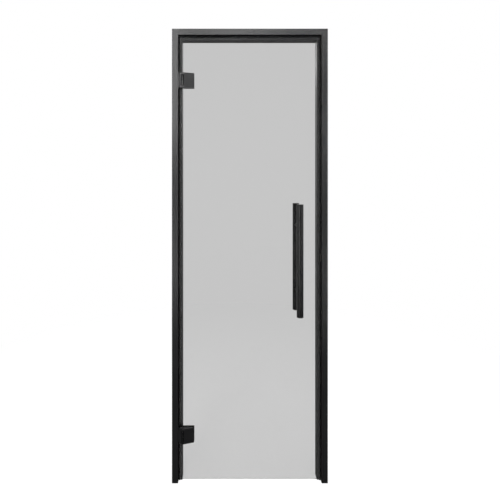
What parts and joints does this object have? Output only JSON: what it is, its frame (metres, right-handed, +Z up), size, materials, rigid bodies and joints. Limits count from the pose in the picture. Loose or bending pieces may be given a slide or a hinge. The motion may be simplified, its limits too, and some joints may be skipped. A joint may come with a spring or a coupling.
{
  "type": "glass door",
  "caption": "Tall frameless tinted glass door leaf hung in a slim black three-sided frame, with clamp hinges and a round bar pull handle on both faces.",
  "frame": {"origin": "floor level, midway between the jambs' outer sides, in the middle plane of the glass", "axes": "+X from the hinges to the handle, +Y from the outside to the inside of the door, +Z up"},
  "size_m": [0.71, 0.132, 2.07],
  "materials": {
    "frame_aluminium": "satin black powder coat",
    "tinted_glass": "clear grey tint, polished",
    "black_rubber": "matte",
    "black_plastic": "fine moulded grain",
    "bearing_plastic": "plain",
    "mill_aluminium": "mill",
    "nickel_plate": "bright",
    "screw_steel": "zinc plated",
    "black_hardware": "satin black coat"
  },
  "bodies": {
    "frame": {"catch_housing": "black_plastic", "catch_magnets": "nickel_plate", "cleat_screws": "screw_steel", "corner_cleats": "mill_aluminium", "fixing_covers": "black_plastic", "head_rail": "frame_aluminium", "head_seal": "black_rubber", "hinge_bracket_screws": "screw_steel", "hinge_bushes": "black_plastic", "hinge_jamb": "frame_aluminium", "hinge_jamb_plug": "black_plastic", "hinge_jamb_seal": "black_rubber", "lower_hinge_backing_plate": "screw_steel", "lower_hinge_jamb_bracket": "black_hardware", "strike_jamb": "frame_aluminium", "strike_jamb_plug": "black_plastic", "strike_jamb_seal": "black_rubber", "upper_hinge_backing_plate": "screw_steel", "upper_hinge_jamb_bracket": "black_hardware"},
    "leaf": {"catch_strike": "black_hardware", "glass_pane": "tinted_glass", "handle_grub_screws": "screw_steel", "handle_sleeves": "bearing_plastic", "handle_studs": "screw_steel", "handle_washers": "black_rubber", "hinge_clamp_screws": "screw_steel", "hinge_clamp_sleeves": "bearing_plastic", "inner_handle_bar": "black_hardware", "inner_handle_caps": "black_hardware", "inner_handle_posts": "black_hardware", "lower_hinge_front_clamp": "black_hardware", "lower_hinge_glass_gaskets": "black_rubber", "lower_hinge_pin": "screw_steel", "lower_hinge_rear_clamp": "black_hardware", "outer_handle_bar": "black_hardware", "outer_handle_caps": "black_hardware", "outer_handle_posts": "black_hardware", "upper_hinge_front_clamp": "black_hardware", "upper_hinge_glass_gaskets": "black_rubber", "upper_hinge_pin": "screw_steel", "upper_hinge_rear_clamp": "black_hardware"}
  },
  "joints": [
    {"name": "leaf_swing", "type": "hinge", "parent": "frame", "child": "leaf", "pos_m": [-0.31525, -0.01325, 0], "axis": [0, 0, -1], "range_deg": [0, 150]}
  ]
}
